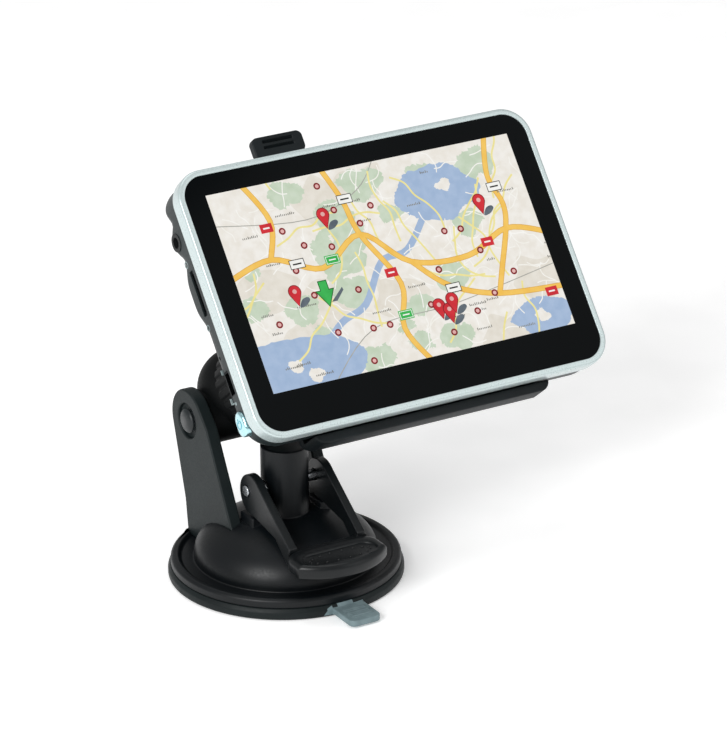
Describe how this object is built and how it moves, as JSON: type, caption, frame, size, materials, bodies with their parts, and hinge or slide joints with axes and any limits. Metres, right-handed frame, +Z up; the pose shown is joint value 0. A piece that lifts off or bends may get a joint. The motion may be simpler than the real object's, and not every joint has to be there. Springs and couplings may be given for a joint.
{
  "type": "portable gps navigator",
  "caption": "Flat car navigator with a wide touch screen, in a clip-on holder on a lever-locked suction mount with a forked tilt arm and ball joint.",
  "frame": {"origin": "centre of the suction cup's sealing face, on the surface the cup stands on", "axes": "+X along the screen's width to its right-hand end, -Y to the front where the lever is and the screen faces, +Z up, square to the surface the cup stands on"},
  "size_m": [0.1429, 0.1007, 0.1236],
  "materials": {
    "cup_rubber": "moulded soft PVC rubber, dark grey-green, satin",
    "steel": "zinc-plated steel",
    "spring_steel": "bright drawn spring wire",
    "mount_plastic": "black ABS, fine satin moulded finish with a green-grey sheen",
    "cap_plastic": "black ABS, satin",
    "lever_plastic": "black nylon, semi-gloss moulded",
    "washer_nylon": "grey nylon",
    "liner_acetal": "natural acetal",
    "holder_plastic": "black ABS, fine matt texture",
    "front_glass": "black-backed touch glass around a lit map screen",
    "bezel_silver": "silver painted zinc ring, satin",
    "lcd_glass": "display module",
    "tray_steel": "pressed tray",
    "battery_foil": "lithium pouch cell in foil",
    "board_laminate": "green laminate circuit board",
    "can_tin": "tinned steel",
    "antenna_ceramic": "ceramic patch with silvered face",
    "speaker_black": "speaker with black frame",
    "socket_plastic": "black glass-filled nylon",
    "button_chrome": "pale blue chromed plastic",
    "shell_plastic": "black ABS, satin"
  },
  "bodies": {
    "base": {"suction_cup": "cup_rubber", "base_shell": "mount_plastic", "tower_cap": "cap_plastic", "fork": "mount_plastic", "fork_screws": "steel", "pivot_bolt": "steel", "pivot_nut": "steel", "pivot_caps": "cap_plastic", "friction_washers": "washer_nylon", "return_spring": "spring_steel"},
    "post": {"foot_plate": "steel", "suction_post": "steel", "lever_pin": "steel"},
    "lever": {"lever": "lever_plastic"},
    "arm": {"ball_arm": "mount_plastic"},
    "ball_ring": {"rear_liner": "liner_acetal"},
    "ball_pad": {"front_liner": "liner_acetal"},
    "holder": {"socket_cup": "holder_plastic", "holder_plate": "holder_plastic", "holder_screws": "steel"},
    "nut": {"socket_nut": "holder_plastic"},
    "clip": {"release_clip": "holder_plastic"},
    "navigator": {"front_glass": "front_glass", "bezel_ring": "bezel_silver", "lcd_panel": "lcd_glass", "lcd_tray": "tray_steel", "battery": "battery_foil", "main_board": "board_laminate", "shield_cans": "can_tin", "gps_antenna": "antenna_ceramic", "speaker": "speaker_black", "earphone_jack": "socket_plastic", "card_socket": "can_tin", "usb_socket": "can_tin", "reset_switch": "socket_plastic", "power_switch": "socket_plastic", "rear_shell": "shell_plastic", "housing_screws": "steel"},
    "power_key": {"power_button": "button_chrome"}
  },
  "joints": [
    {"name": "lever_open", "type": "hinge", "parent": "post", "child": "lever", "pos_m": [0, 0, 0.0296], "axis": [-1, 0, 0], "range_deg": [0, 36]},
    {"name": "post_drop", "type": "slide", "parent": "base", "child": "post", "axis": [0, 0, 1], "range_m": [-0.0014, 0], "deforming": ["suction_cup", "return_spring"]},
    {"name": "arm_tilt", "type": "hinge", "parent": "base", "child": "arm", "pos_m": [0, 0.028, 0.0439], "axis": [-1, 0, 0], "range_deg": [-1, 50]},
    {"name": "ball_tilt", "type": "hinge", "parent": "arm", "child": "ball_ring", "pos_m": [0, 0.01251, 0.05993], "axis": [1, 0, 0], "range_deg": [-8, 1]},
    {"name": "ball_pan", "type": "hinge", "parent": "ball_ring", "child": "ball_pad", "pos_m": [0, 0.01251, 0.05993], "axis": [0, 0.6225, 0.7826], "range_deg": [-8, 8]},
    {"name": "ball_roll", "type": "hinge", "parent": "ball_pad", "child": "holder", "pos_m": [0, 0.01251, 0.05993], "axis": [0, -0.7826, 0.6225], "range_deg": [-10, 10]},
    {"name": "nut_turn", "type": "hinge", "parent": "holder", "child": "nut", "pos_m": [0, 0.01251, 0.05993], "axis": [0, 0.7826, -0.6225], "range_deg": [-90, 0]},
    {"name": "clip_flex", "type": "hinge", "parent": "holder", "child": "clip", "pos_m": [0.0272, 0.04061, 0.10683], "axis": [-1, 0, 0], "range_deg": [0, 8], "stiffness_Nm_per_rad": 2},
    {"name": "navigator_release", "type": "slide", "parent": "holder", "child": "navigator", "axis": [0, -0.7826, 0.6225], "range_m": [0, 0.04]},
    {"name": "power_press", "type": "slide", "parent": "navigator", "child": "power_key", "axis": [1, 0, 0], "range_m": [0, 0.0006], "stiffness_N_per_m": 800}
  ],
  "couplings": [
    {"joint": "post_drop", "follows": "lever_open", "m_per_rad": -0.002223}
  ]
}
